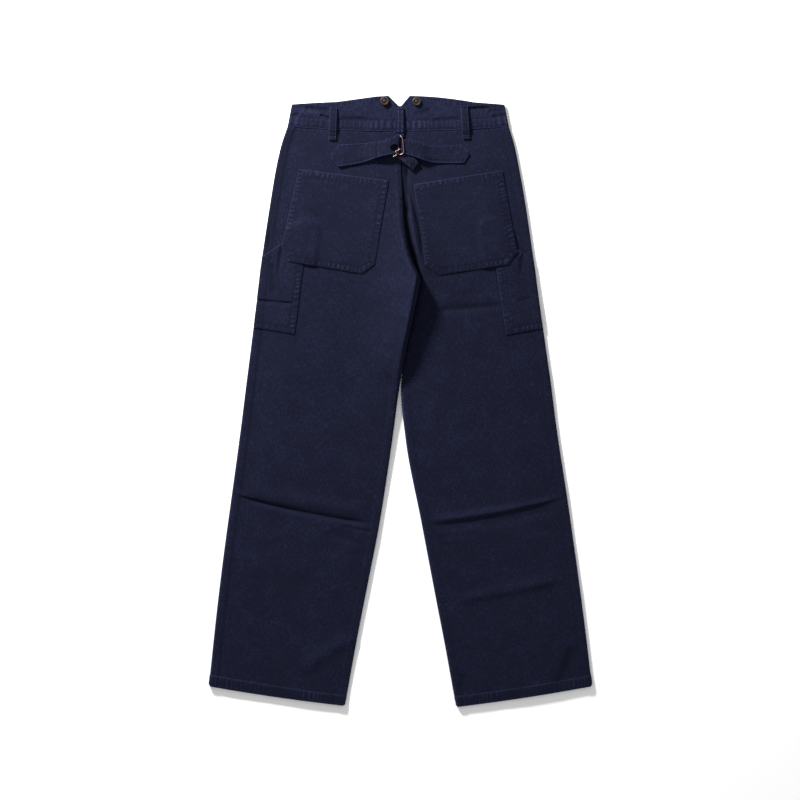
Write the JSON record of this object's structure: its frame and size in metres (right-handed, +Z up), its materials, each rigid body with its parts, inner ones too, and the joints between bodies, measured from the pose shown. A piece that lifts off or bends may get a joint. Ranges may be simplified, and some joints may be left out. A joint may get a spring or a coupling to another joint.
{
  "type": "work trousers",
  "caption": "Navy cotton work trousers laid flat, back up: V-notched waistband with brace buttons, cinch strap with wire buckle, patch and tool pockets.",
  "frame": {"origin": "on the surface that the trousers lie on, under the middle of their outline", "axes": "+X to the right of someone who looks down at the back, +Y from the hems to the waist, +Z up from the surface to the back"},
  "size_m": [0.6662, 1.0627, 0.036],
  "materials": {
    "navy_canvas": "washed heavy cotton, matt, faded at the seams",
    "aged_bronze": "stamped and darkened, worn bright on the rim",
    "copper_wire": "bright drawn wire, slightly scratched"
  },
  "bodies": {
    "root": {"back_left": "navy_canvas", "back_right": "navy_canvas", "front_left": "navy_canvas", "front_right": "navy_canvas", "waistband_back_left": "navy_canvas", "waistband_back_right": "navy_canvas", "waistband_front_left": "navy_canvas", "waistband_front_right": "navy_canvas", "back_pocket_left": "navy_canvas", "back_pocket_right": "navy_canvas", "tool_pocket_left": "navy_canvas", "tool_pocket_right": "navy_canvas", "belt_loop_left": "navy_canvas", "belt_loop_centre": "navy_canvas", "belt_loop_right": "navy_canvas", "cinch_strap_left": "navy_canvas", "cinch_strap_right": "navy_canvas", "buckle_frame": "copper_wire", "buckle_prong": "copper_wire", "brace_button_left": "aged_bronze", "brace_button_right": "aged_bronze", "waist_button": "aged_bronze"}
  },
  "joints": []
}
